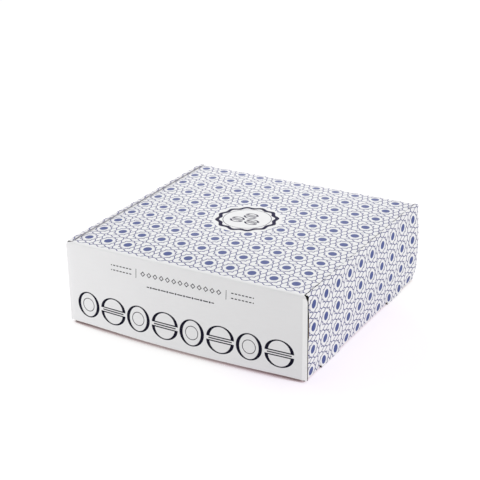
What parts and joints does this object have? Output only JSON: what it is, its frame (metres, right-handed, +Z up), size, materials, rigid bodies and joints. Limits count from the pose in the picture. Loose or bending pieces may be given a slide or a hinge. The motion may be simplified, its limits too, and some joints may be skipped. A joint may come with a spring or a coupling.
{
  "type": "macaron box",
  "caption": "Shut, low pastry carton of white corrugated board: hinged lid between rolled side walls, front flap hanging outside and bowed out at its foot.",
  "frame": {"origin": "middle of the carton's whole footprint, on the plane that it stands on", "axes": "+Z up; the front flap faces -Y and the lid is hinged at +Y; +X is to the right seen from the front"},
  "size_m": [0.2094, 0.201, 0.0699],
  "materials": {
    "white_board": "white coated corrugated paperboard with a slight sheen"
  },
  "bodies": {
    "root": {"carton": "white_board"}
  },
  "joints": []
}
